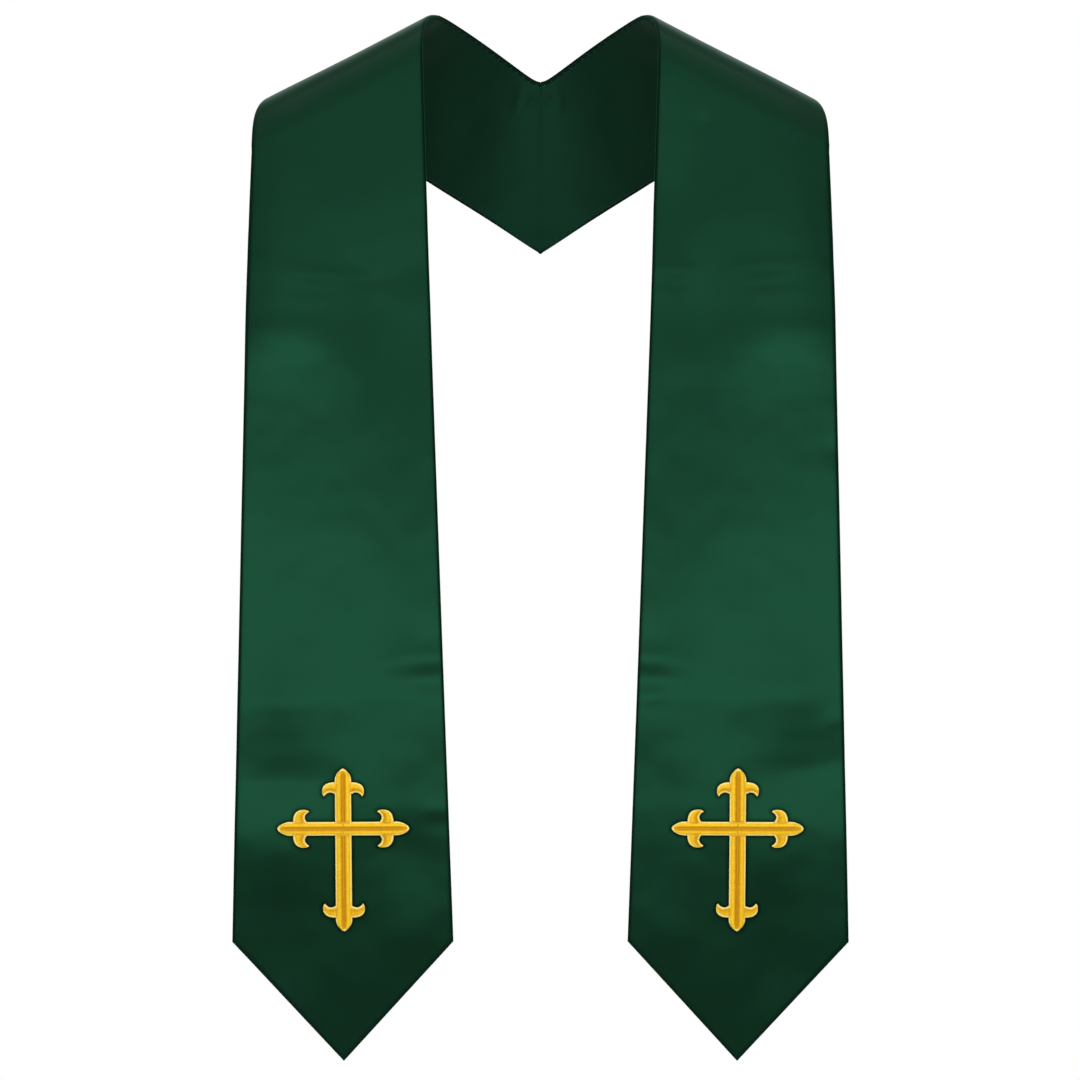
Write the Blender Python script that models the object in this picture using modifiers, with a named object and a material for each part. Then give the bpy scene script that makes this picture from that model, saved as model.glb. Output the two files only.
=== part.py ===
"""A clerical stole, hanging as it does on its wearer.

Each half is one strip of cloth, cut flat with straight edges and a pointed end, and mitred where it meets
the other half at the centre back. The strip is laid over the shoulder by bending it about straight lines
only, as cloth bends, so its worn shape keeps the lengths of its flat cut.

Sizes are in millimetres and degrees, and mm() turns them into metres. A place on the flat cut is a station,
measured along the strip's centreline from the centre back, and an offset across it, with + towards the
shoulder's outer end. World axes: +X to the wearer's left, +Y to the wearer's back, +Z up. The origin is
level with the inner ends of the shoulder crests, where the stole rests on its wearer.
"""

import math

import bmesh
import bpy
import numpy as np

# The flat cut of one half.
CREST_STATION = 154
CORNER_STATION = 718
POINT_DEPTH = 73
BACK_HALF_WIDTH = 45
CREST_HALF_WIDTH = 50
HEM_HALF_WIDTH = 67

# The centre-back seam: where its upper end lies, and how far it leans back from upright.
SEAM_TOP_BEHIND = 48
SEAM_TOP_BELOW = 41
SEAM_LEAN = 30
SEAM_GAP = 0.3

# The bend lines: the angle between each and the strip's centreline, straight between these stations.
BEND_LINES = (
    {"station": 0, "angle": 130.5},
    {"station": 154, "angle": 62},
    {"station": 208, "angle": 62},
    {"station": 276, "angle": 80},
    {"station": 416, "angle": 80},
    {"station": 480, "angle": 90},
)

# How far the cloth turns, between which stations, and how the turn is spread between them.
BENDS = (
    {"place": "round the nape", "first": 0, "last": 154, "turn": 29, "spread": "even"},
    {"place": "behind the crest", "first": 122, "last": 154, "turn": 26, "spread": "growing"},
    {"place": "before the crest", "first": 154, "last": 208, "turn": 95, "spread": "even"},
    {"place": "over the chest", "first": 276, "last": 416, "turn": 10, "spread": "swelling"},
)

# The largest soft folds, as swellings of the cloth: the middle, the reach along the fold and square to it,
# the fold's angle to a level line, and its rise (a hollow is below zero). The halves differ a little.
FOLDS = {
    "left": (
        {"station": 322, "offset": -6, "reach": 75, "half_width": 17, "slant": -4, "rise": -2.2},
        {"station": 553, "offset": -58, "reach": 34, "half_width": 13, "slant": 12, "rise": -3.5},
        {"station": 572, "offset": -30, "reach": 52, "half_width": 14, "slant": 16, "rise": 3.0},
        {"station": 592, "offset": 34, "reach": 62, "half_width": 19, "slant": -10, "rise": -3.2},
        {"station": 628, "offset": 48, "reach": 60, "half_width": 20, "slant": -8, "rise": 3.0},
    ),
    "right": (
        {"station": 322, "offset": -4, "reach": 80, "half_width": 16, "slant": 2, "rise": -2.4},
        {"station": 553, "offset": -60, "reach": 36, "half_width": 13, "slant": 10, "rise": -3.2},
        {"station": 574, "offset": -26, "reach": 56, "half_width": 15, "slant": 20, "rise": 3.2},
        {"station": 596, "offset": 36, "reach": 58, "half_width": 19, "slant": -12, "rise": -3.0},
        {"station": 630, "offset": 46, "reach": 62, "half_width": 22, "slant": -6, "rise": 3.4},
    ),
}

# The walls.
OUTER_THICKNESS = 1.2
LINING_THICKNESS = 1.0
CLEARANCE = 0.3
LINING_SET_BACK = 2.0

# The cross, from the crossing of its arms outwards. Each arm ends in a spear between two horns, whose
# lengths are measured back from the arm's tip, and lengthened on the level arms.
CROSS_STATION = 649
CROSS_OFFSET = -1
CROSS_THICKNESS = 1.5
CROSS_EDGE = 0.5
ARMS = (
    {"name": "upper", "points": 180, "length": 36.5, "half_width": 4.9, "horn_reach": 12.6, "head": 1.0},
    {"name": "outer", "points": 90, "length": 40.0, "half_width": 4.1, "horn_reach": 11.4, "head": 1.15},
    {"name": "lower", "points": 0, "length": 62.5, "half_width": 4.9, "horn_reach": 12.6, "head": 1.0},
    {"name": "inner", "points": -90, "length": 40.0, "half_width": 4.1, "horn_reach": 11.4, "head": 1.15},
)
SPEAR_LENGTH = 8.4
SPEAR_SWELL = 0.6
SPEAR_BLUNT = 1.1
HORN_NECK = 15.6
HORN_TIP = 16.6
HORN_CROWN = 13.0
HORN_BLUNT = 0.8

# The grid of each panel: bend lines between these stations, and strips across.
ROW_STRETCHES = (
    {"last": 117, "pitch": 13},
    {"last": 216, "pitch": 5.5},
    {"last": 526, "pitch": 15.5},
    {"last": 712, "pitch": 9.3},
)
END_ROWS = 5
COLUMNS = 6

# Each wall starts at a height off the cloth's middle, and grows outward (1) or towards the wearer (-1).
OUTER_WALL = {"height": 0.0, "grows": 1, "thickness": OUTER_THICKNESS, "set_back": 0.0}
LINING_WALL = {"height": -CLEARANCE, "grows": -1, "thickness": LINING_THICKNESS, "set_back": LINING_SET_BACK}

GREEN_SATIN = "184030"
GREEN_LINING = "1A4733"
GOLD_THREAD = "D2A634"


def mm(size):
    """A size or a point in millimetres, in metres."""
    return size * 0.001


def half_width(station):
    """Half the strip's width at a station: narrow at the neck, and flaring from the crest to the hem."""
    stations = (0, CREST_STATION, CORNER_STATION)
    return float(np.interp(station, stations, (BACK_HALF_WIDTH, CREST_HALF_WIDTH, HEM_HALF_WIDTH)))


def bend_angle(station):
    """The angle in radians between the bend line at a station and the centreline."""
    stations = [row["station"] for row in BEND_LINES]
    angles = [row["angle"] for row in BEND_LINES]
    return math.radians(np.interp(station, stations, angles))


def total_turn(station):
    """How far the cloth has turned, in radians, between the centre back and a station."""
    total = 0.0
    for bend in BENDS:
        share = (station - bend["first"]) / (bend["last"] - bend["first"])
        share = min(max(share, 0.0), 1.0)
        if bend["spread"] == "growing":
            share += math.sin(math.pi * (share - 1.0)) / math.pi
        elif bend["spread"] == "swelling":
            share -= math.sin(2 * math.pi * share) / (2 * math.pi)
        total += bend["turn"] * share
    return math.radians(total)


def turned(vector, axis, angle):
    """The vector turned about a unit axis."""
    cosine, sine = math.cos(angle), math.sin(angle)
    return vector * cosine + np.cross(axis, vector) * sine + axis * (vector @ axis) * (1 - cosine)


def row_stations():
    """The stations of the panel's rows, from the centre back to the foot of the cross."""
    stations = [0.0]
    for stretch in ROW_STRETCHES:
        start = stations[-1]
        count = round((stretch["last"] - start) / stretch["pitch"])
        stations += list(np.linspace(start, stretch["last"], count + 1)[1:])
    return stations


class Strip:
    """One half of the stole, from its flat cut to its worn shape, as it lies on the wearer's left."""

    def __init__(self, side):
        self.folds = FOLDS[side]
        self.stations = row_stations()
        self.frames = self.lay()

    def lay(self):
        """The centreline point, the direction along, and the direction across, at each row."""
        lean = math.radians(SEAM_LEAN)
        seam = np.array((0.0, math.sin(lean), -math.cos(lean)))
        sideways = np.array((1.0, 0.0, 0.0))
        angle = bend_angle(0)
        along = math.cos(angle) * seam + math.sin(angle) * sideways
        across = math.sin(angle) * seam - math.cos(angle) * sideways
        top = np.array((SEAM_GAP / 2, SEAM_TOP_BEHIND, -SEAM_TOP_BELOW))
        point = top + seam * BACK_HALF_WIDTH / math.sin(angle)
        frames = [(point, along, across)]
        for before, station in zip(self.stations, self.stations[1:]):
            point = point + along * (station - before)
            angle = bend_angle(station)
            line = math.cos(angle) * along + math.sin(angle) * across
            turn = total_turn(station) - total_turn(before)
            along, across = turned(along, line, turn), turned(across, line, turn)
            frames.append((point, along, across))
        return frames

    def swell(self, station, offset):
        """How far the folds lift the cloth at a place on the flat cut."""
        lift = 0.0
        for fold in self.folds:
            slant = math.radians(fold["slant"])
            down, out = station - fold["station"], offset - fold["offset"]
            beside = (out * math.cos(slant) + down * math.sin(slant)) / fold["reach"]
            above = (down * math.cos(slant) - out * math.sin(slant)) / fold["half_width"]
            lift += fold["rise"] * math.exp(-2 * (beside**2 + above**2))
        return lift

    def place(self, row, station, offset, height):
        """The world point of a place on the flat cut, carried by a row's frame, at a height off the cloth."""
        point, along, across = self.frames[row]
        outward = np.cross(along, across)
        lifted = height + self.swell(station, offset)
        return point + along * (station - self.stations[row]) + across * offset + outward * lifted

    def edge_offset(self, row, share, set_back):
        """The offset, on a row's bend line, of a share of the way from the centreline to an edge."""
        station = self.stations[row]
        lean = 1 / math.tan(bend_angle(station))
        flare = (half_width(station + 1) - half_width(station - 1)) / 2
        return share * (half_width(station) - set_back) / (1 - share * flare * lean)

    def rows(self, height, set_back):
        """Rows of points over the panel, at a height off the cloth and set back from its edges."""
        shares = np.linspace(-1, 1, COLUMNS + 1)
        rows = []
        for row, station in enumerate(self.stations):
            lean = 1 / math.tan(bend_angle(station))
            offsets = [self.edge_offset(row, share, set_back) for share in shares]
            rows.append([self.place(row, station + lean * offset, offset, height) for offset in offsets])
        last, foot = len(self.stations) - 1, self.stations[-1]
        for step in range(1, END_ROWS + 1):
            line = []
            for share in shares:
                drop = CORNER_STATION - foot + POINT_DEPTH * (1 - abs(share)) - set_back
                station = foot + drop * step / END_ROWS
                reach = half_width(min(station, CORNER_STATION)) - set_back
                line.append(self.place(last, station, share * reach, height))
            rows.append(line)
        return rows

    def row_above(self, station):
        """The row whose frame carries a station: the last one at or above it."""
        return int(np.searchsorted(self.stations, station, side="right")) - 1


def satin(name, colour, roughness, metallic):
    """A material of one colour, given as an sRGB hex."""
    material = bpy.data.materials.new(name)
    material.use_nodes = True
    shader = material.node_tree.nodes["Principled BSDF"]
    channels = [int(colour[start : start + 2], 16) / 255 for start in (0, 2, 4)]
    linear = [c / 12.92 if c <= 0.04045 else ((c + 0.055) / 1.055) ** 2.4 for c in channels]
    shader.inputs["Base Color"].default_value = (*linear, 1.0)
    shader.inputs["Roughness"].default_value = roughness
    shader.inputs["Metallic"].default_value = metallic
    return material


def add_object(mesh, collection, material):
    """The mesh as an object of its own name, shaded smooth except at its edges."""
    mesh.materials.append(material)
    mesh.shade_smooth()
    mesh.set_sharp_from_angle(angle=math.radians(40))
    obj = bpy.data.objects.new(mesh.name, mesh)
    collection.objects.link(obj)
    return obj


def mirrored(points, side):
    """The points as they are for the wearer's left, or mirrored for the right."""
    return points * np.array((1.0 if side == "left" else -1.0, 1.0, 1.0))


def add_panel(name, strip, side, wall, collection, material):
    """A panel of cloth: an open sheet of the strip's rows, thickened to a wall."""
    rows = strip.rows(wall["height"], wall["set_back"])
    points = mirrored(np.array(rows).reshape(-1, 3), side)
    wide = COLUMNS + 1
    faces = []
    for row in range(len(rows) - 1):
        for column in range(COLUMNS):
            corner = row * wide + column
            loop = (corner, corner + wide, corner + wide + 1, corner + 1)
            faces.append(loop if side == "left" else loop[::-1])
    mesh = bpy.data.meshes.new(name)
    mesh.from_pydata([tuple(point) for point in mm(points)], [], faces)
    obj = add_object(mesh, collection, material)
    solidify = obj.modifiers.new("Cloth", "SOLIDIFY")
    solidify.thickness = mm(wall["thickness"])
    solidify.offset = wall["grows"]
    solidify.use_even_offset = True
    return obj


def curve_points(start, bend, end, count):
    """Points along a quadratic curve after its start, ending at its end."""
    shares = np.linspace(0, 1, count + 1)[1:, None]
    start, bend, end = (np.array(point, float) for point in (start, bend, end))
    return list((1 - shares) ** 2 * start + 2 * shares * (1 - shares) * bend + shares**2 * end)


def arm_side(arm):
    """One side of an arm, from beside the crossing out to the tip, as (distance out, distance sideways)."""
    length, side, reach, head = arm["length"], arm["half_width"], arm["horn_reach"], arm["head"]
    neck, horn_tip = length - head * HORN_NECK, length - head * HORN_TIP
    crown, shoulder = length - head * HORN_CROWN, length - head * SPEAR_LENGTH
    swell = (length - head * SPEAR_LENGTH / 2, side + SPEAR_SWELL)
    points = [np.array((neck, side))]
    points += curve_points((neck, side), (crown, (side + reach) / 2), (horn_tip, reach - 2 * HORN_BLUNT), 3)
    points += [np.array((horn_tip, reach)), np.array((crown, reach))]
    points += curve_points((crown, reach), (shoulder, reach - HORN_BLUNT), (shoulder, side), 3)
    points += curve_points((shoulder, side), swell, (length - SPEAR_BLUNT, SPEAR_BLUNT), 3)
    return points


def cross_outline():
    """The cross's outline on the flat cut, as (offset, station) from its crossing, arm after arm."""
    outline = []
    for arm, following in zip(ARMS, ARMS[1:] + ARMS[:1]):
        out = math.radians(arm["points"])
        ahead = np.array((math.sin(out), math.cos(out)))
        beside = np.array((math.cos(out), -math.sin(out)))
        side = arm_side(arm)
        outline += [ahead * point[0] + beside * point[1] for point in side]
        outline.append(ahead * arm["length"])
        outline += [ahead * point[0] - beside * point[1] for point in reversed(side)]
        outline.append(ahead * following["half_width"] - beside * arm["half_width"])
    return outline


def add_cross(name, strip, side, collection, material):
    """The cross: its outline raised with a rounded edge, cut along the panel's grid, and laid on it."""
    cross = bmesh.new()
    loop = [cross.verts.new((point[0], point[1], 0.0)) for point in cross_outline()]
    base = cross.faces.new(loop)
    raised = bmesh.ops.extrude_face_region(cross, geom=[base])["geom"]
    for vertex in (item for item in raised if isinstance(item, bmesh.types.BMVert)):
        vertex.co.z = CROSS_THICKNESS - CROSS_EDGE
    top = [item for item in raised if isinstance(item, bmesh.types.BMFace)]
    bmesh.ops.inset_region(cross, faces=top, thickness=CROSS_EDGE, depth=CROSS_EDGE)
    middle = np.array((CROSS_OFFSET, CROSS_STATION))
    for station in strip.stations:
        cut_along(cross, (0, station - middle[1], 0), (0, 1, 0))
    flare = (HEM_HALF_WIDTH - CREST_HALF_WIDTH) / (CORNER_STATION - CREST_STATION)
    for share in np.linspace(-1, 1, COLUMNS + 1):
        cut_along(cross, (share * half_width(CROSS_STATION) - middle[0], 0, 0), (1, -share * flare, 0))
    bmesh.ops.triangulate(cross, faces=cross.faces[:])
    bmesh.ops.recalc_face_normals(cross, faces=cross.faces[:])
    if side == "left":  # The flat cut is seen from its back, and mirroring turns it round again.
        bmesh.ops.reverse_faces(cross, faces=cross.faces[:])
    for vertex in cross.verts:
        offset, station = vertex.co.x + middle[0], vertex.co.y + middle[1]
        height = vertex.co.z + OUTER_THICKNESS + CLEARANCE
        point = strip.place(strip.row_above(station), station, offset, height)
        vertex.co = mm(mirrored(point, side))
    mesh = bpy.data.meshes.new(name)
    cross.to_mesh(mesh)
    cross.free()
    return add_object(mesh, collection, material)


def cut_along(solid, point, normal):
    """Cuts every face of the solid along a plane, and keeps both sides."""
    everything = solid.verts[:] + solid.edges[:] + solid.faces[:]
    bmesh.ops.bisect_plane(solid, geom=everything, plane_co=point, plane_no=normal, dist=1e-4)


def main():
    for obj in list(bpy.data.objects):
        bpy.data.objects.remove(obj)
    collection = bpy.data.collections.new("clerical_stole")
    bpy.context.scene.collection.children.link(collection)
    outer_cloth = satin("green_satin", GREEN_SATIN, 0.42, 0.0)
    lining_cloth = satin("green_lining", GREEN_LINING, 0.5, 0.0)
    gold = satin("gold_embroidery", GOLD_THREAD, 0.35, 0.3)
    for side in ("left", "right"):
        strip = Strip(side)
        add_panel(f"outer_{side}", strip, side, OUTER_WALL, collection, outer_cloth)
        add_panel(f"lining_{side}", strip, side, LINING_WALL, collection, lining_cloth)
        add_cross(f"cross_{side}", strip, side, collection, gold)


main()
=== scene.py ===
"""A clerical stole of green satin, as it hangs on its wearer, with a gold cross worked on each pointed end.

Sizes are in millimetres and degrees, and metres() turns them into Blender's units. A place on the flat cut is
a station, measured along the centreline from the centre back, and an offset across it, with + towards the
shoulder's outer end. World axes: +X to the wearer's left, +Y to the wearer's back, +Z up.
"""

import logging
import math
from dataclasses import dataclass, field
from enum import Enum
from typing import Any, Iterable, Sequence

import bmesh
import bpy
import numpy as np
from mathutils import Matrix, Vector
from mathutils.geometry import delaunay_2d_cdt


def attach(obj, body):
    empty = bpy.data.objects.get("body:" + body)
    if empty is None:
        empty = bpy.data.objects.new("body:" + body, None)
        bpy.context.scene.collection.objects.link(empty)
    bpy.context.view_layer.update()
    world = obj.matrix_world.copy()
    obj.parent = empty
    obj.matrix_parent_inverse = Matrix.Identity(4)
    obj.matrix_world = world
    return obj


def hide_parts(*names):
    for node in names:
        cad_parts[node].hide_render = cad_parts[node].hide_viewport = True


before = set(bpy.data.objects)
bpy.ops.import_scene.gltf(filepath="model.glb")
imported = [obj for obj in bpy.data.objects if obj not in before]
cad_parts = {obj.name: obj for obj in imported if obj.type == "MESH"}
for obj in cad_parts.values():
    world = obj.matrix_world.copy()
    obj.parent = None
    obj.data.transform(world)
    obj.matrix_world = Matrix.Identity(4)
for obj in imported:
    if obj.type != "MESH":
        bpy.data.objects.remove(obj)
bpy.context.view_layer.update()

LOG = logging.getLogger("stole")
Array = np.ndarray
Tree = bpy.types.NodeTree
Socket = bpy.types.NodeSocket
Inputs = dict[str | int, Any]
NEAR_NOTHING = 1e-9


def metres(size: Any) -> Any:
    """A size or an array of sizes in millimetres, in metres."""
    return size * 0.001


def linear(colour: str) -> tuple[float, float, float, float]:
    """The linear colour of an sRGB hex such as "184030".

    Args:
        colour: six hex digits, red first.

    Returns:
        Red, green, blue and an alpha of 1, in Blender's linear light.
    """
    channels = [int(colour[start : start + 2], 16) / 255 for start in (0, 2, 4)]
    red, green, blue = (c / 12.92 if c <= 0.04045 else ((c + 0.055) / 1.055) ** 2.4 for c in channels)
    return red, green, blue, 1.0


def fill(tree: Tree, node: bpy.types.Node, inputs: Inputs) -> None:
    """Sets or links a node's inputs.

    Args:
        tree: the tree that the node is in.
        node: the node.
        inputs: values or output sockets, by the input's name or its number.
    """
    for key, value in inputs.items():
        if isinstance(key, int):
            socket = node.inputs[key]
        else:
            socket = next(item for item in node.inputs if item.enabled and item.name == key)
        if isinstance(value, Socket):
            tree.links.new(value, socket)
        else:
            socket.default_value = value


def add_node(tree: Tree, kind: str, inputs: Inputs | None = None, **settings: Any) -> bpy.types.Node:
    """Adds a node to a tree.

    Args:
        tree: the shader or geometry tree.
        kind: the node's type.
        inputs: values or output sockets, by the input's name or its number.
        settings: the node's properties.

    Returns:
        The new node.
    """
    node = tree.nodes.new(kind)
    for name, value in settings.items():
        setattr(node, name, value)
    fill(tree, node, inputs or {})
    return node


def live(node: bpy.types.Node) -> Socket:
    """The node's first output that is in use."""
    return next(socket for socket in node.outputs if socket.enabled)


def made(tree: Tree, kind: str, inputs: Inputs | None = None, **settings: Any) -> Socket:
    """The first output in use of a new node, which takes what add_node takes."""
    return live(add_node(tree, kind, inputs, **settings))


def maths(tree: Tree, operation: str, *values: float | Socket) -> Socket:
    """The result of one operation on numbers or on other nodes' outputs."""
    return made(tree, "ShaderNodeMath", dict(enumerate(values)), operation=operation)


def add_object(name: str, data: bpy.types.ID) -> bpy.types.Object:
    """A new object in the scene that holds a mesh, a lamp or a camera."""
    obj = bpy.data.objects.new(name, data)
    bpy.context.scene.collection.objects.link(obj)
    return obj


def mark(mesh: bpy.types.Mesh, name: str, values: Array) -> None:
    """Keeps a number for each point of a mesh, as a named attribute."""
    mesh.attributes.new(name, "FLOAT", "POINT").data.foreach_set("value", values.astype(np.float32))


def hermite(values: Array, knots: Array, at: Array) -> Array:
    """A smooth curve through values at knots.

    Args:
        values: one row of numbers for each knot.
        knots: rising positions.
        at: where to read the curve, in any shape.

    Returns:
        The curve's values, with the shape of at and the values' last axis.
    """
    slopes = np.gradient(values, knots, axis=0)
    left = np.clip(np.searchsorted(knots, at, side="right") - 1, 0, len(knots) - 2)
    width = (knots[left + 1] - knots[left])[..., None]
    t = (at - knots[left])[..., None] / width
    start = (2 * t**3 - 3 * t**2 + 1) * values[left] + (t**3 - 2 * t**2 + t) * width * slopes[left]
    end = (3 * t**2 - 2 * t**3) * values[left + 1] + (t**3 - t**2) * width * slopes[left + 1]
    return start + end


def unit(vectors: Array) -> Array:
    """The vectors at a length of 1."""
    return vectors / np.linalg.norm(vectors, axis=-1, keepdims=True)


def smooth_step(values: Array, low: float, high: float) -> Array:
    """0 below low, 1 above high, and a smooth rise between them."""
    share = np.clip((values - low) / (high - low), 0.0, 1.0)
    return share * share * (3.0 - 2.0 * share)


def bezier(start: Sequence[float], bend: Sequence[float], end: Sequence[float], count: int) -> Array:
    """Points on a quadratic curve, with its two ends.

    Args:
        start: the first point.
        bend: the point that the curve leans to.
        end: the last point.
        count: how many points.

    Returns:
        The points, one to a row.
    """
    t = np.linspace(0, 1, count)[:, None]
    start, bend, end = (np.array(point, float) for point in (start, bend, end))
    return (1 - t) ** 2 * start + 2 * t * (1 - t) * bend + t**2 * end


def quarter_round(distance: Array, radius: float) -> Array:
    """The height of a rounded edge at distances from its foot: 0 there, and 1 from the radius on."""
    return np.sqrt(1 - (1 - np.clip(distance / radius, 0, 1)) ** 2)


def raised(places: Array, height: float | Array) -> Array:
    """Points over flat places, all at one height or each at its own."""
    return np.column_stack([places, np.full(len(places), height)])


class Side(Enum):
    """Which half of the stole a piece belongs to, by the wearer's hand."""

    LEFT = "left"
    RIGHT = "right"

    @property
    def sign(self) -> float:
        """1 on the wearer's left, where +X is, and -1 on the right."""
        return 1.0 if self is Side.LEFT else -1.0


class Spread(Enum):
    """How a bend's turn is shared out between its two ends."""

    EVEN = "even"
    GROWING = "growing"
    SWELLING = "swelling"


class Face(Enum):
    """The two faces of a sheet: away from the wearer, and towards them."""

    OUT = 1
    IN = -1


class Crest(Enum):
    """How a crease turns at its middle: a round swelling, or a line where the cloth has once been pressed."""

    ROUND = "round"
    KEEN = "keen"


# ---------------------------------------------------------------- the cut and its worn shape


@dataclass(frozen=True)
class Bend:
    """One bend of the worn strip about its bend lines."""

    first: float
    last: float
    turn: float
    spread: Spread

    def turned_at(self, station: float) -> float:
        """How many degrees of this bend lie before a station.

        Args:
            station: where on the centreline.

        Returns:
            From 0 to the bend's whole turn.
        """
        share = min(max((station - self.first) / (self.last - self.first), 0.0), 1.0)
        if self.spread is Spread.GROWING:
            share += math.sin(math.pi * (share - 1.0)) / math.pi
        elif self.spread is Spread.SWELLING:
            share -= math.sin(2 * math.pi * share) / (2 * math.pi)
        return self.turn * share


@dataclass(frozen=True)
class Crease:
    """One soft fold, as a long low swelling of the cloth, or a hollow where its rise is below zero. It
    reaches to both sides of its middle, and fades out above and below it. Its slant is in degrees."""

    station: float
    offset: float
    reach: float
    above: float
    below: float
    slant: float
    rise: float
    crest: Crest = Crest.ROUND
    fade: float = 2.0
    crest_round: float = 0.12

    def lift(self, station: Array, offset: Array) -> Array:
        """How far the crease lifts the cloth.

        Args:
            station: stations on the flat cut.
            offset: offsets on the flat cut.

        Returns:
            Heights in millimetres.
        """
        slant = math.radians(self.slant)
        down, out = station - self.station, offset - self.offset
        beside = (out * math.cos(slant) + down * math.sin(slant)) / self.reach
        past = down * math.cos(slant) - out * math.sin(slant)
        past = past / np.where(past < 0, self.above, self.below)
        if self.crest is Crest.KEEN:
            fall = np.sqrt(past**2 + self.crest_round**2) - self.crest_round
        else:
            fall = past**2
        return self.rise * np.exp(-self.fade * (beside**2 + fall))


@dataclass(frozen=True)
class Lean:
    """The pointed end, leaning back towards the wearer below the cloth's last swelling."""

    first: float
    full: float
    angle: float

    def lift(self, station: Array) -> Array:
        """How far the lean lifts the cloth: nothing above its first station, and below zero past it."""
        span = self.full - self.first
        share = np.clip((station - self.first) / span, 0.0, 1.0)
        run = (share**3 - share**4 / 2) * span + np.maximum(station - self.full, 0.0)
        return -math.tan(math.radians(self.angle)) * run


@dataclass(frozen=True)
class Outline:
    """The closed outline of stitched work, as places on the flat cut measured from the work's own origin."""

    loop: Array

    def away(self, places: Array) -> Array:
        """How far places lie from the outline's nearest edge.

        Args:
            places: one place to a row.

        Returns:
            Distances in millimetres.
        """
        start, run = self.loop, np.roll(self.loop, -1, axis=0) - self.loop
        reach = places[:, None, :] - start
        share = np.clip((reach * run).sum(axis=-1) / np.maximum((run**2).sum(axis=-1), NEAR_NOTHING), 0, 1)
        return np.linalg.norm(reach - share[..., None] * run, axis=-1).min(axis=1)

    def holds(self, places: Array) -> Array:
        """Whether each place lies inside the outline."""
        start, end = self.loop, np.roll(self.loop, -1, axis=0)
        beside = (start[:, 1] > places[:, None, 1]) != (end[:, 1] > places[:, None, 1])
        fall = end[:, 1] - start[:, 1]
        fall = np.where(np.abs(fall) < NEAR_NOTHING, NEAR_NOTHING, fall)
        crossing = start[:, 0] + (end[:, 0] - start[:, 0]) / fall * (places[:, None, 1] - start[:, 1])
        return (beside & (places[:, None, 0] < crossing)).sum(axis=1) % 2 == 1


@dataclass(frozen=True)
class FlatCut:
    """The finished flat cut of one half: narrow at the neck, flaring to a pointed hem."""

    crest_station: float = 154
    corner_station: float = 718
    point_depth: float = 73
    back_half_width: float = 45
    crest_half_width: float = 50
    hem_half_width: float = 67
    line_stations: tuple[float, ...] = (0, 154, 208, 276, 416, 480)
    line_angles: tuple[float, ...] = (130.5, 62, 62, 80, 80, 90)
    neck_round: float = 4.2
    tail_round: float = 4.0
    tail_run: float = 70

    def half_width(self, station: Any) -> Any:
        """Half the strip's width at a station or an array of them."""
        stations = (0, self.crest_station, self.corner_station)
        widths = (self.back_half_width, self.crest_half_width, self.hem_half_width)
        return np.interp(station, stations, widths)

    def rounding(self, ruling: Any, offset: Any) -> Any:
        """How far the corners at the centre back are rounded: out at the neck's edge, in at the tail's."""
        seam, side = math.radians(self.line_angles[0]), np.where(offset < 0, -1.0, 1.0)
        drift = side * self.half_width(ruling) * (self.lean(ruling) - self.lean(0))
        away = math.sin(seam) * (ruling + drift)
        slope = -away / math.tan(seam)
        neck = np.hypot(slope, self.neck_round) - slope
        tail = self.tail_round * (1 - np.clip(away / self.tail_run, 0, 1)) ** 2
        return math.sin(seam) * np.where(side < 0, neck, -tail)

    def edge(self, ruling: Any, way: float, set_back: float) -> Any:
        """Where each bend line meets a line set back from one of the strip's long edges.

        Args:
            ruling: the station where each bend line crosses the centreline.
            way: -1 for the inner edge, or 1 for the outer.
            set_back: how far the line lies in from the edge.

        Returns:
            Offsets.
        """
        flare = (self.half_width(ruling + 1) - self.half_width(ruling - 1)) / 2
        half = self.half_width(ruling) - set_back + self.rounding(ruling, way)
        return way * half / (1 - way * flare * self.lean(ruling))

    def lean(self, station: Any) -> Any:
        """How far a bend line runs along the strip for each millimetre across it."""
        angle = np.radians(np.interp(station, self.line_stations, self.line_angles))
        return np.cos(angle) / np.sin(angle)

    def tip(self, offset: Any) -> Any:
        """The station of the pointed hem at an offset."""
        return self.corner_station + self.point_depth * (1 - np.abs(offset) / self.hem_half_width)

    @property
    def hem_slope(self) -> float:
        """How far a point moves from the hem's edge for each millimetre that it moves up the strip."""
        return self.hem_half_width / math.hypot(self.hem_half_width, self.point_depth)

    @property
    def flat_size(self) -> tuple[float, float]:
        """The cut's greatest width and length in metres, with the mitre at the centre back."""
        mitre = -float(self.lean(0)) * self.back_half_width
        return metres(2 * self.hem_half_width), metres(self.corner_station + self.point_depth + mitre)

    @property
    def area(self) -> float:
        """The cut's area in square metres."""
        neck = (self.back_half_width + self.crest_half_width) * self.crest_station
        front = (self.crest_half_width + self.hem_half_width) * (self.corner_station - self.crest_station)
        return metres(metres(neck + front + self.hem_half_width * self.point_depth))


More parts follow.
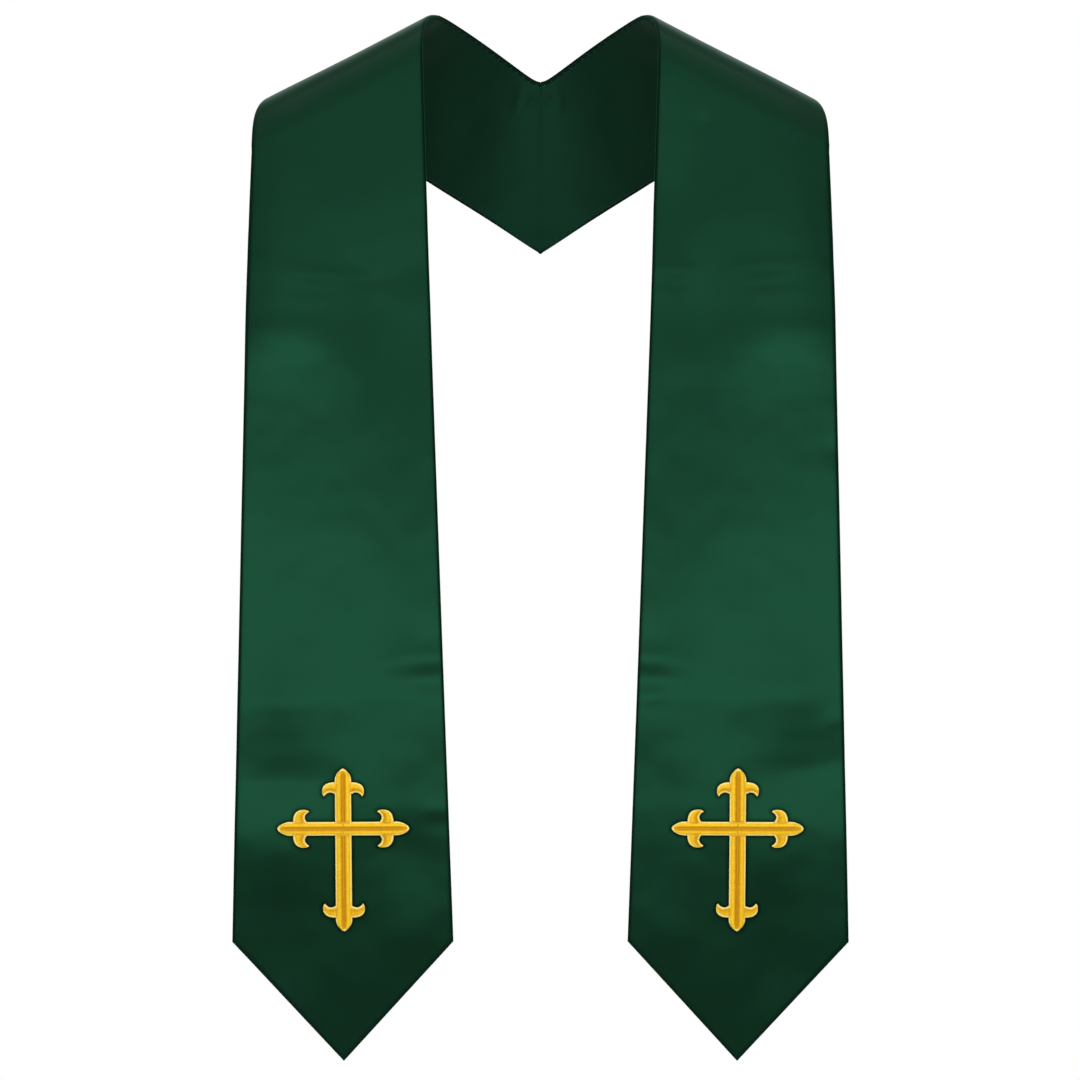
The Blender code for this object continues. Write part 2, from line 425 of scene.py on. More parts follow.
@dataclass
class WornStrip:
    """One half of the stole from its flat cut to its worn shape, bent about straight lines only, as cloth
    is. The seam's sizes say where the centre-back seam stands. Each stretch says where it ends and how far
    apart the strip's points are worked out along it."""

    side: Side
    creases: tuple[Crease, ...]
    lean: Lean = Lean(628, 676, 3.4)
    cut: FlatCut = field(default_factory=FlatCut)
    seam_top_behind: float = 48
    seam_top_below: float = 41
    seam_lean: float = 30
    seam_gap: float = 0.3
    stretches: tuple[tuple[float, float], ...] = ((117, 13), (216, 5.5), (526, 15.5), (712, 9.3))
    run_on: float = 100.0
    rounds: int = 12
    bends: tuple[Bend, ...] = (
        Bend(0, 154, 29, Spread.EVEN),
        Bend(122, 154, 26, Spread.GROWING),
        Bend(154, 208, 95, Spread.EVEN),
        Bend(276, 416, 10, Spread.SWELLING),
    )

    def __post_init__(self) -> None:
        """Lays the strip once, for every piece that is placed on it, and a little past its end."""
        stations = [0.0]
        for last, pitch in self.stretches:
            steps = round((last - stations[-1]) / pitch)
            stations += list(np.linspace(stations[-1], last, steps + 1)[1:])
        self.knots = np.array(stations + [stations[-1] + self.run_on])
        self.spine, self.lines = self.lay()

    def lay(self) -> tuple[Array, Array]:
        """Marches outward from the centre-back seam.

        Returns:
            The centreline's point and the bend line's direction at each knot.
        """
        lean = math.radians(self.seam_lean)
        seam = np.array((0.0, math.sin(lean), -math.cos(lean)))
        sideways = np.array((1.0, 0.0, 0.0))
        angle = math.radians(self.cut.line_angles[0])
        along = math.cos(angle) * seam + math.sin(angle) * sideways
        across = math.sin(angle) * seam - math.cos(angle) * sideways
        top = np.array((self.seam_gap / 2, self.seam_top_behind, -self.seam_top_below))
        point = top + seam * self.cut.back_half_width / math.sin(angle)
        spine, lines = [point], [seam]
        for before, station in zip(self.knots, self.knots[1:]):
            point = point + along * (station - before)
            angle = math.radians(np.interp(station, self.cut.line_stations, self.cut.line_angles))
            line = math.cos(angle) * along + math.sin(angle) * across
            turn = math.radians(sum(b.turned_at(station) - b.turned_at(before) for b in self.bends))
            along, across = self.turned(along, line, turn), self.turned(across, line, turn)
            spine.append(point)
            lines.append(line)
        return np.array(spine), np.array(lines)

    @staticmethod
    def turned(vector: Array, axis: Array, angle: float) -> Array:
        """The vector turned about a unit axis by an angle in radians."""
        cosine, sine = math.cos(angle), math.sin(angle)
        return vector * cosine + np.cross(axis, vector) * sine + axis * (vector @ axis) * (1 - cosine)

    def point(self, ruling: Array, offset: Array) -> Array:
        """Points of the cloth's middle.

        Args:
            ruling: the station where each point's bend line crosses the centreline.
            offset: offsets across the strip.

        Returns:
            Points in millimetres, on the wearer's left.
        """
        reach = offset * np.hypot(1.0, self.cut.lean(ruling))
        line = unit(hermite(self.lines, self.knots, ruling))
        return hermite(self.spine, self.knots, ruling) + line * reach[..., None]

    def outward(self, ruling: Array, offset: Array) -> Array:
        """Unit directions straight out of the cloth, away from the wearer."""
        reach, slant = 0.5, np.hypot(1, self.cut.lean(ruling))
        low, high = np.maximum(ruling - reach, 0.0), np.minimum(ruling + reach, self.knots[-1])
        ends = [self.point(at, offset * (slant / np.hypot(1, self.cut.lean(at)))) for at in (low, high)]
        along = ends[1] - ends[0]
        return unit(np.cross(along, hermite(self.lines, self.knots, ruling)))

    def relief(self, station: Array, offset: Array) -> Array:
        """How far the creases lift the cloth at places on the flat cut."""
        return self.lean.lift(station) + sum(crease.lift(station, offset) for crease in self.creases)

    def ruling(self, station: Array, offset: Array) -> Array:
        """Where the bend line through each place on the cut crosses the centreline, closer each round."""
        ruling = station
        for _ in range(self.rounds):
            ruling = np.maximum(station - offset * self.cut.lean(ruling), 0.0)
        return ruling

    def drape(self, obj: bpy.types.Object, origin: tuple[float, float], base: float, face: Face) -> None:
        """Moves a flat piece's points onto the strip, and turns its faces outward.

        Args:
            obj: the piece, flat, with X across the strip, Y along it and Z up off the cloth.
            origin: the offset and station where the flat piece's origin goes.
            base: how far the cloth's face stands off its middle.
            face: the face that the piece lies on.
        """
        mesh = obj.data
        flat = np.empty(len(mesh.vertices) * 3, np.float32)
        mesh.vertices.foreach_get("co", flat)
        flat = flat.reshape(-1, 3).astype(float) * 1000
        offset, station = origin[0] + flat[:, 0], origin[1] + flat[:, 1]
        points = self.place(self.ruling(station, offset), offset, face.value * (base + flat[:, 2]))
        mesh.vertices.foreach_set("co", points.astype(np.float32).reshape(-1))
        if (self.side is Side.LEFT) == (face is Face.OUT):
            mesh.flip_normals()
        mesh.update()

    def place(self, ruling: Array, offset: Array, height: Array) -> Array:
        """World points of places on the cut.

        Args:
            ruling: the station where each place's bend line crosses the centreline.
            offset: offsets across the strip.
            height: how far each point stands off the cloth's middle, besides the creases.

        Returns:
            Points in metres, mirrored for the wearer's right.
        """
        station = ruling + offset * self.cut.lean(ruling)
        lift = height + self.relief(station, offset)
        points = self.point(ruling, offset) + self.outward(ruling, offset) * lift[..., None]
        return metres(points * np.array((self.side.sign, 1.0, 1.0)))


# ---------------------------------------------------------------- finishes


def noise(tree: Tree, place: Socket, scale: float, detail: float) -> Socket:
    """A soft noise about 0.5, read at a place, that varies scale times a metre with some finer layers."""
    inputs = {"Vector": place, "Scale": scale, "Detail": detail}
    return add_node(tree, "ShaderNodeTexNoise", inputs).outputs["Fac"]


def tone(tree: Tree, level: Socket, reach: float) -> Socket:
    """A tone that varies about 1 by up to a reach, from a noise's level."""
    inputs = {"Value": level, "From Min": 0.3, "From Max": 0.7, "To Min": 1 - reach, "To Max": 1 + reach}
    return made(tree, "ShaderNodeMapRange", inputs)


def shaded(tree: Tree, colour: str, shade: Socket) -> Socket:
    """A colour made lighter or darker by a shade."""
    return made(tree, "ShaderNodeVectorMath", {0: linear(colour)[:3], "Scale": shade}, operation="SCALE")


@dataclass(frozen=True)
class Finish:
    """The base of every finish: one named material on the Principled shader."""

    name: str

    def inputs(self, tree: Tree) -> Inputs:
        """What goes into the shader.

        Args:
            tree: the material's tree, which takes the nodes of any pattern.

        Returns:
            A plain value for each even input, and an output socket for each that varies.
        """
        raise NotImplementedError

    def make(self) -> bpy.types.Material:
        """The new material."""
        material = bpy.data.materials.new(self.name)
        material.use_nodes = True
        tree = material.node_tree
        fill(tree, tree.nodes["Principled BSDF"], self.inputs(tree))
        return material


@dataclass(frozen=True)
class SatinFinish(Finish):
    """Polyester satin: a warp-faced weave of bright filament, so its lustre is soft, tinted like the yarn,
    and spread wide across the threads. Single threads are 0.1 mm apart, too fine to show, so the streaks that
    they make are drawn 1 mm apart. Its colour and lustre are painted darker where the piece's stored amount
    says: painted shade along its rolled edges and round the embroidery."""

    colour: str
    lustre: str
    roughness: float
    specular: float
    spread: float
    sheen: float
    painted_shade: float = 0.0
    streak_mm: float = 1.0
    streak_run_mm: float = 60.0
    streak_tone: float = 0.05
    streak_depth_mm: float = 0.05
    streak_strength: float = 0.25
    cloud_mm: float = 45.0
    cloud_tone: float = 0.07
    wave_mm: float = 30.0
    wave_depth_mm: float = 0.6

    def inputs(self, tree: Tree) -> Inputs:
        """The lustre, and the weave's tone and relief by the piece's UV map, in metres on the flat cut."""
        place = add_node(tree, "ShaderNodeUVMap", uv_map="cut").outputs["UV"]
        drawn_out = {"Vector": place, "Scale": (1000 / self.streak_mm, 1000 / self.streak_run_mm, 1.0)}
        streaks = noise(tree, made(tree, "ShaderNodeMapping", drawn_out), 1.0, 3.0)
        cloud = noise(tree, place, 1000 / self.cloud_mm, 2.0)
        waves = noise(tree, place, 1000 / self.wave_mm, 1.0)
        tones = tone(tree, cloud, self.cloud_tone), tone(tree, streaks, self.streak_tone)
        shade, specular = maths(tree, "MULTIPLY", *tones), self.specular
        # Painted shade: colour and lustre are darkened by the piece's stored amount, along its edges and
        # round the cross.
        if self.painted_shade:
            where_shaded = add_node(tree, "ShaderNodeAttribute", attribute_name="painted_shade").outputs["Fac"]
            darkened = {"Value": where_shaded, "To Min": 1.0, "To Max": 1 - self.painted_shade}
            kept = made(tree, "ShaderNodeMapRange", darkened)
            shade, specular = (maths(tree, "MULTIPLY", kept, whole) for whole in (shade, specular))
        depth, strength = metres(self.streak_depth_mm), self.streak_strength
        relief = {"Strength": strength, "Distance": depth, "Height": streaks}
        streaked, depth = made(tree, "ShaderNodeBump", relief), metres(self.wave_depth_mm)
        relief = {"Strength": 1.0, "Distance": depth, "Height": waves, "Normal": streaked}
        return {
            "Base Color": shaded(tree, self.colour, shade),
            "Roughness": self.roughness,
            "Specular IOR Level": specular,
            "Specular Tint": linear(self.lustre),
            "Anisotropic": self.spread,
            "Tangent": made(tree, "ShaderNodeTangent", direction_type="UV_MAP", uv_map="cut"),
            "Sheen Weight": self.sheen,
            "Sheen Roughness": 0.5,
            "Sheen Tint": linear(self.lustre),
            "IOR": 1.5,
            "Normal": made(tree, "ShaderNodeBump", relief),
        }


@dataclass(frozen=True)
class GoldThread(Finish):
    """Rayon embroidery thread, bright and smooth: each stitch takes its own glint along its back. Its colour
    is painted dark orange where the stitches dip together, a painted shade, and pale yellow along the border,
    a painted highlight."""

    name: str = "rayon_embroidery_thread"
    valley_shade: str = "BE8600"
    colour: str = "EFC21C"
    pale: str = "FBE48C"
    lustre: str = "FFD873"

    def inputs(self, tree: Tree) -> Inputs:
        """The gloss, and the colour by each stitch's own "shade" attribute: from the painted shade's dark
        orange through the plain gold to the painted highlight's pale yellow.
        """
        shade = add_node(tree, "ShaderNodeAttribute", attribute_name="shade").outputs["Fac"]
        tones = add_node(tree, "ShaderNodeValToRGB", {"Fac": shade})
        tones.color_ramp.elements.new(0.5)
        for stop, colour in zip(tones.color_ramp.elements, (self.valley_shade, self.colour, self.pale)):
            stop.color = linear(colour)
        return {
            "Base Color": live(tones),
            "Roughness": 0.38,
            "Specular IOR Level": 0.8,
            "Specular Tint": linear(self.lustre),
            "Sheen Weight": 0.1,
            "Sheen Roughness": 0.4,
            "IOR": 1.5,
        }


@dataclass(frozen=True)
class SewingThread(Finish):
    """Spun polyester sewing thread in the satin's green: matt beside it, with a faint twist."""

    name: str = "spun_polyester_thread"
    colour: str = "0F3222"
    twist_mm: float = 0.4
    twist_tone: float = 0.2

    def inputs(self, tree: Tree) -> Inputs:
        """The matt green, with the twist's lighter and darker flecks."""
        place = add_node(tree, "ShaderNodeTexCoord").outputs["Object"]
        flecks = tone(tree, noise(tree, place, 1000 / self.twist_mm, 1.0), self.twist_tone)
        return {"Base Color": shaded(tree, self.colour, flecks), "Roughness": 0.7}


@dataclass(frozen=True)
class PaleFloor(Finish):
    """Matt white studio vinyl under its own even wash of light, so it shows pale from edge to edge. The wash
    is seen by the camera only, and so throws no light back up at the cloth."""

    name: str = "matt_white_vinyl"
    colour: str = "EDEDEB"
    wash: float = 0.72

    def inputs(self, tree: Tree) -> Inputs:
        """The matt white, and its wash."""
        pale, seen = linear(self.colour), add_node(tree, "ShaderNodeLightPath").outputs["Is Camera Ray"]
        wash = maths(tree, "MULTIPLY", seen, self.wash)
        return {"Base Color": pale, "Roughness": 0.8, "Emission Color": pale, "Emission Strength": wash}


# ---------------------------------------------------------------- cloth pieces


@dataclass
class ClothPiece:
    """A sheet of cloth over one half of the stole: a fine grid for each face, joined all round its edge. The
    grid is closer at the edges and the seam, at the distances that the steps give, and over the cross."""

    strip: WornStrip
    set_back: float
    row_pitch: float
    cross_pitch: float
    middle_columns: int
    edge_steps: tuple[float, ...] = (0.0, 0.25, 0.7, 1.3, 2.2, 3.6, 6.0)
    seam_steps: tuple[float, ...] = (0.0, 0.35, 0.8, 1.5, 2.5, 4.0)
    cross_zone: tuple[float, float] = (600, 704)
    hem_rows: int = 26
    hem_rounds: int = 3
    sharp_angle: float = 70
    shown: Face = Face.OUT
    seam_depth: float = 0.3
    seam_fade: float = 3.0

    def columns(self) -> Array:
        """How each column's offset follows from the strip's two edges.

        Returns:
            For each column: the share of the inner edge, the share of the outer edge, and what is added.
        """
        inner = [(1.0, 0.0, step) for step in self.edge_steps]
        deepest = self.edge_steps[-1]
        shares = np.linspace(0, 1, self.middle_columns + 1)[1:-1]
        middle = [(1 - t, t, deepest * (1 - 2 * t)) for t in shares]
        outer = [(0.0, 1.0, -step) for step in reversed(self.edge_steps)]
        return np.array(inner + middle + outer)

    def grid(self) -> tuple[Array, Array]:
        """The ruling and the offset of every point of the sheet's grid, row by row from the centre back."""
        cut, columns = self.strip.cut, self.columns()
        start, foot = self.cross_zone
        upper = np.linspace(self.seam_steps[-1], start, round(start / self.row_pitch))
        lower = np.linspace(start, foot, round((foot - start) / self.cross_pitch))
        rulings = np.concatenate([self.seam_steps, upper[1:], lower[1:]])
        ends = [cut.edge(rulings, way, self.set_back) for way in (-1, 1)]
        edges = np.stack([*ends, np.ones_like(rulings)], axis=1)
        offsets = list(edges @ columns.T)
        rows, lowest = [np.full(len(columns), ruling) for ruling in rulings], offsets[-1]
        for row in range(1, self.hem_rows + len(self.edge_steps)):
            offset = lowest
            for _ in range(self.hem_rounds):
                last = cut.tip(offset) - self.set_back / cut.hem_slope
                inner = last - self.edge_steps[-1] / cut.hem_slope
                if row < self.hem_rows:
                    station = foot + (inner - foot) * row / self.hem_rows
                else:
                    station = last - self.edge_steps[self.hem_rows - row - 1] / cut.hem_slope
                half_here = cut.half_width(np.minimum(station, cut.corner_station)) - self.set_back
                offset = -half_here * columns[:, 0] + half_here * columns[:, 1] + columns[:, 2]
            rows.append(station)
            offsets.append(offset)
        return np.array(rows), np.array(offsets)

    def edge_distance(self, ruling: Array, offset: Array) -> Array:
        """How far each place lies from the sheet's nearest long edge or hem."""
        cut = self.strip.cut
        station = ruling + offset * cut.lean(ruling)
        side = cut.half_width(np.minimum(station, cut.corner_station)) - np.abs(offset)
        side = side + cut.rounding(ruling, offset)
        hem = (cut.tip(offset) - station) * cut.hem_slope
        return np.maximum(np.minimum(side, hem) - self.set_back, 0.0)

    def height(self, face: Face, edge: Array, seam: Array) -> Array:
        """How far a face stands off the cloth's middle.

        Args:
            face: which face.
            edge: distances from the sheet's own edge.
            seam: distances from the centre-back seam.

        Returns:
            Heights in millimetres, below zero towards the wearer.
        """
        raise NotImplementedError

    def painted_shade(self, places: Array, edge: Array) -> Array:
        """How much painted shade the cloth takes at each place: none on a plain sheet.

        Args:
            places: places on the flat cut.
            edge: their distances from the edge.

        Returns:
            The amounts, from 0 to 1.
        """
        return np.zeros(len(places))

    def seam_height(self, edge: Array) -> Array:
        """How far the centre-back seam's line stands off the cloth's middle, just below the shown face."""
        shown = self.height(self.shown, edge, np.full_like(edge, np.inf))
        return shown - self.shown.value * self.seam_depth * smooth_step(edge, 0.0, self.seam_fade)

    def build(self, name: str, material: bpy.types.Material) -> bpy.types.Object:
        """Builds the closed sheet with its UV map of the flat cut.

        Args:
            name: the piece's name.
            material: its finish.

        Returns:
            The object, in the scene's collection.
        """
        ruling, offset = self.grid()
        station = ruling + offset * self.strip.cut.lean(ruling)
        edge = self.edge_distance(ruling, offset)
        tall, wide = ruling.shape
        rim = np.zeros((tall, wide), bool)
        rim[0], rim[-1], rim[:, 0], rim[:, -1] = True, True, True, True
        front, back = (self.strip.place(ruling, offset, self.height(face, edge, ruling)) for face in Face)
        front[rim] = (front[rim] + back[rim]) / 2
        front[0] = self.strip.place(ruling[0], offset[0], self.seam_height(edge[0]))
        front[0, :, 0] = 0.0
        numbers = np.arange(tall * wide).reshape(tall, wide)
        inside = numbers.copy()
        inside[~rim] = tall * wide + np.arange((~rim).sum())
        points = np.concatenate([front.reshape(-1, 3), back[~rim]])
        flat = metres(np.stack([offset, station], axis=-1))
        flats = np.concatenate([flat.reshape(-1, 2), flat[~rim]])
        quads = [self.quads(numbers), self.quads(inside)[:, ::-1]]
        faces = np.concatenate(quads if self.strip.side is Side.LEFT else [q[:, ::-1] for q in quads])
        mesh = bpy.data.meshes.new(name)
        mesh.from_pydata(points.tolist(), [], faces.tolist())
        layer = mesh.uv_layers.new(name="cut")
        layer.data.foreach_set("uv", flats[faces.reshape(-1)].astype(np.float32).reshape(-1))
        edges = np.concatenate([edge.reshape(-1), edge[~rim]])
        # The painted shade that the satin reads, to darken its colour and lustre.
        mark(mesh, "painted_shade", self.painted_shade(1000 * flats, edges))
        mesh.shade_smooth()
        mesh.set_sharp_from_angle(angle=math.radians(self.sharp_angle))
        mesh.materials.append(material)
        return add_object(name, mesh)

    @staticmethod
    def quads(numbers: Array) -> Array:
        """The four-sided faces of a grid of point numbers."""
        corners = (numbers[:-1, :-1], numbers[1:, :-1], numbers[1:, 1:], numbers[:-1, 1:])
        return np.stack(corners, axis=-1).reshape(-1, 4)


@dataclass
class OuterCloth(ClothPiece):
    """The satin face, rolled round every edge to the back, where its turning tucks under the lining. Its work
    is the outline of the cross that is sewn on it; painted shade darkens the satin round it and along its
    edges."""

    set_back: float = 0.0
    row_pitch: float = 3.0
    cross_pitch: float = 1.2
    middle_columns: int = 108
    face: float = 1.2
    fold_middle: float = -0.3
    fold_back: float = -0.85
    tucked: float = -0.25
    tuck: tuple[float, float] = (1.4, 2.4)
    roll: float = 2.4
    seam_radius: float = 2.2
    seam_depth: float = 0.12
    # How dark and how wide the painted shade is along the edge, and how wide it is round the cross.
    edge_shade: float = 0.95
    edge_shade_reach: float = 1.5
    work_shade_reach: float = 1.5
    work: Outline | None = None
    work_origin: tuple[float, float] = (0.0, 0.0)

    def height(self, face: Face, edge: Array, seam: Array) -> Array:
        """The satin's face, its rounded fold, and the turning that tucks under the lining."""
        if face is Face.OUT:
            bulge = (self.face - self.fold_middle) * quarter_round(edge, self.roll)
            into_seam = 1 - smooth_step(seam, 0.0, self.seam_radius)
            return self.fold_middle + bulge - self.seam_depth * into_seam
        reach = self.fold_middle - self.fold_back
        bulge, tucked = reach * quarter_round(edge, reach), smooth_step(edge, *self.tuck)
        return (self.fold_middle - bulge) * (1 - tucked) + self.tucked * tucked

    def painted_shade(self, places: Array, edge: Array) -> Array:
        """Painted shade on the satin: along its rolled edge and all round the embroidery."""
        amount = self.edge_shade * np.exp(-((edge / self.edge_shade_reach) ** 2))
        if self.work is not None:
            places = places - np.array(self.work_origin)
            near = (np.abs(places) < np.abs(self.work.loop).max() + 2 * self.work_shade_reach).all(axis=1)
            amount[near] += np.exp(-((self.work.away(places[near]) / self.work_shade_reach) ** 2))
        return np.minimum(amount, 1.0)


@dataclass
class LiningCloth(ClothPiece):
    """The lining, slip-stitched to the satin just inside its rolled edge."""

    set_back: float = 1.9
    row_pitch: float = 3.6
    cross_pitch: float = 3.6
    middle_columns: int = 34
    edge_steps: tuple[float, ...] = (0.0, 0.2, 0.6, 1.2, 2.2, 4.0)
    face: float = -1.3
    fold_middle: float = -0.75
    tucked: float = -0.35
    seam_radius: float = 2.2
    seam_depth: float = 0.1
    shown: Face = Face.IN

    def height(self, face: Face, edge: Array, seam: Array) -> Array:
        """The lining's face, falling to its fold at the edges and into the centre-back seam."""
        reach = self.tucked - self.fold_middle if face is Face.OUT else self.fold_middle - self.face
        bulge = reach * quarter_round(edge, reach)
        if face is Face.OUT:
            return self.fold_middle + bulge
        into_seam = 1 - smooth_step(seam, 0.0, self.seam_radius)
        return self.fold_middle - bulge + self.seam_depth * into_seam * (bulge / reach)


# ---------------------------------------------------------------- stitches


def read(tree: Tree, name: str, kind: str = "FLOAT") -> Socket:
    """The values of a named attribute, in a geometry tree."""
    return made(tree, "GeometryNodeInputNamedAttribute", {"Name": name}, data_type=kind)


def store(tree: Tree, shape: Socket, name: str, value: Socket, domain: str = "POINT") -> Socket:
    """Keeps a number on a shape as a named attribute.

    Args:
        tree: the geometry tree.
        shape: the output that holds the shape.
        name: the attribute's name.
        value: the output that holds the number.
        domain: what each number belongs to.

    Returns:
        The output that holds the shape with its attribute.
    """
    inputs = {"Geometry": shape, "Name": name, "Value": value}
    return made(tree, "GeometryNodeStoreNamedAttribute", inputs, data_type="FLOAT", domain=domain)


@dataclass(frozen=True)
class StitchPath:
    """Where a row of stitches starts: its points, each stitch's reach and arch in millimetres, and the
    thread's painted tone at its start and its end, from 0, the darkest painted shade where it dips, to 1,
    the palest painted highlight."""

    points: Array
    reach: Array
    arch: Array | float
    near: float
    far: float


@dataclass
class StitchRow:
    """Stitches laid side by side along a path: Geometry Nodes put one arched thread at every pitch, reaching
    from the path along its "reach" attribute, as tall as its "arch" attribute says."""

    pitch: float
    thread: float
    wander: float
    seed: int
    segments: int = 5
    sides: int = 5
    plumpness: float = 0.6
    tint: float = 0.06
    tone_turns: tuple[float, float] = (0.25, 0.65)

    def sizes(self, finish: bpy.types.Material) -> dict[str, tuple[str, Any]]:
        """The tree's named inputs besides the path: the kind and the value of each."""
        return {
            "Pitch": ("NodeSocketFloat", metres(self.pitch)),
            "Thread": ("NodeSocketFloat", metres(self.thread)),
            "Wander": ("NodeSocketFloat", metres(self.wander)),
            "Seed": ("NodeSocketInt", self.seed),
            "Finish": ("NodeSocketMaterial", finish),
        }

    def tree(self, sizes: dict[str, tuple[str, Any]]) -> Tree:
        """Builds the node tree that lays the stitches.

        Args:
            sizes: its named inputs.

        Returns:
            The geometry node group.
        """
        tree = bpy.data.node_groups.new("stitches", "GeometryNodeTree")
        for way in ("INPUT", "OUTPUT"):
            tree.interface.new_socket(name="Geometry", in_out=way, socket_type="NodeSocketGeometry")
        for name, (kind, _) in sizes.items():
            tree.interface.new_socket(name=name, in_out="INPUT", socket_type=kind)
        given = add_node(tree, "NodeGroupInput").outputs
        path = made(tree, "GeometryNodeMeshToCurve", {"Mesh": given["Geometry"]})
        spacing = {"Curve": path, "Length": given["Pitch"]}
        stitch = self.placing(tree, given) | {
            "Points": made(tree, "GeometryNodeResampleCurve", spacing, mode="LENGTH"),
            "Instance": self.thread_shape(tree, given),
        }
        placed = made(tree, "GeometryNodeInstanceOnPoints", stitch)
        tints = {"Min": -self.tint, "Max": self.tint, "Seed": given["Seed"]}
        tint = made(tree, "FunctionNodeRandomValue", tints, data_type="FLOAT")
        tinted = store(tree, placed, "tint", tint, "INSTANCE")
        real = made(tree, "GeometryNodeRealizeInstances", {"Geometry": tinted})
        # Each stitch's colour runs from its start's painted tone to its end's: painted shade where it dips, a
        # painted highlight at the border, with a random tint on top.
        low, high = self.tone_turns
        along = {"Value": read(tree, "along"), "From Min": low, "From Max": high}
        along |= {"To Min": read(tree, "near"), "To Max": read(tree, "far")}
        level = made(tree, "ShaderNodeMapRange", along, interpolation_type="SMOOTHSTEP")
        toned = store(tree, real, "shade", maths(tree, "ADD", level, read(tree, "tint")))
        smooth = made(tree, "GeometryNodeSetShadeSmooth", {"Geometry": toned})
        done = made(tree, "GeometryNodeSetMaterial", {"Geometry": smooth, "Material": given["Finish"]})
        add_node(tree, "NodeGroupOutput", {"Geometry": done})
        return tree

    def placing(self, tree: Tree, given: bpy.types.NodeOutputs) -> dict[str, Socket]:
        """How each stitch turns along its reach, a little astray, and how long and tall it is.

        Args:
            tree: the stitches' tree.
            given: the tree's named inputs.

        Returns:
            The outputs that hold the rotation and the scale, by name.
        """
        low = maths(tree, "MULTIPLY", given["Wander"], -1.0)
        strays = {"Min": low, "Max": given["Wander"], "Seed": given["Seed"]}
        stray = made(tree, "FunctionNodeRandomValue", strays, data_type="FLOAT_VECTOR")
        reach = {0: read(tree, "reach", "FLOAT_VECTOR"), 1: stray}
        laid = {"Vector": made(tree, "ShaderNodeVectorMath", reach, operation="ADD")}
        turn = laid
        for pivot in ("Z", "Y"):
            turned = made(tree, "FunctionNodeAlignRotationToVector", turn, axis="X", pivot_axis=pivot)
            turn = {"Rotation": turned} | laid
        length = made(tree, "ShaderNodeVectorMath", {0: laid["Vector"]}, operation="LENGTH")
        span = {"X": length, "Y": 1.0, "Z": read(tree, "arch")}
        return {"Rotation": turned, "Scale": made(tree, "ShaderNodeCombineXYZ", span)}

    def thread_shape(self, tree: Tree, given: bpy.types.NodeOutputs) -> Socket:
        """One thread 1 m long and arched 1 mm high, which every stitch scales to its own span.

        Args:
            tree: the stitches' tree.
            given: the tree's named inputs.

        Returns:
            The output that holds the thread's mesh.
        """
        line = made(tree, "GeometryNodeCurvePrimitiveLine", {"End": (1.0, 0.0, 0.0)})
        parts = {"Curve": line, "Count": self.segments + 1}
        along = add_node(tree, "GeometryNodeSplineParameter").outputs["Factor"]
        sine = maths(tree, "SINE", maths(tree, "MULTIPLY", along, math.pi))
        plump = maths(tree, "POWER", maths(tree, "MAXIMUM", sine, 0.0), self.plumpness)
        rise = {"Z": maths(tree, "MULTIPLY", plump, metres(1.0))}
        raised = {
            "Geometry": made(tree, "GeometryNodeResampleCurve", parts, mode="COUNT"),
            "Offset": made(tree, "ShaderNodeCombineXYZ", rise),
        }
        arched = made(tree, "GeometryNodeSetPosition", raised)
        section = {"Resolution": self.sides, "Radius": maths(tree, "MULTIPLY", given["Thread"], 0.5)}
        thread = {
            "Curve": store(tree, arched, "along", along),
            "Profile Curve": made(tree, "GeometryNodeCurvePrimitiveCircle", section),
            "Fill Caps": True,
        }
        return made(tree, "GeometryNodeCurveToMesh", thread)

    def sew(self, name: str, paths: Sequence[StitchPath], finish: bpy.types.Material) -> bpy.types.Object:
        """Lays the stitches along paths on a flat surface.

        Args:
            name: the piece's name.
            paths: the paths that the stitches start from.
            finish: the thread's material.

        Returns:
            A plain mesh object of every stitch, in metres.
        """
        edges, start = [], 0
        for path in paths:
            edges += [(start + step, start + step + 1) for step in range(len(path.points) - 1)]
            start += len(path.points)
        guide = bpy.data.meshes.new("guide")
        guide.from_pydata(metres(np.concatenate([path.points for path in paths])).tolist(), edges, [])
        reach = guide.attributes.new("reach", "FLOAT_VECTOR", "POINT")
        reach.data.foreach_set("vector", metres(np.concatenate([path.reach for path in paths])).reshape(-1))
        for key in ("arch", "near", "far"):
            values = [np.full(len(path.points), 1.0) * getattr(path, key) for path in paths]
            mark(guide, key, np.concatenate(values))
        holder = add_object("guide", guide)
        sizes = self.sizes(finish)
        tree = self.tree(sizes)
        modifier = holder.modifiers.new("Stitches", "NODES")
        modifier.node_group = tree
        for item in tree.interface.items_tree:
            if item.in_out == "INPUT" and item.name in sizes:
                modifier[item.identifier] = sizes[item.name][1]
        bpy.context.view_layer.update()
        graph = bpy.context.evaluated_depsgraph_get()
        mesh = bpy.data.meshes.new_from_object(holder.evaluated_get(graph), depsgraph=graph)
        bpy.data.objects.remove(holder)
        bpy.data.meshes.remove(guide)
        bpy.data.node_groups.remove(tree)
        mesh.name = name
        return add_object(name, mesh)


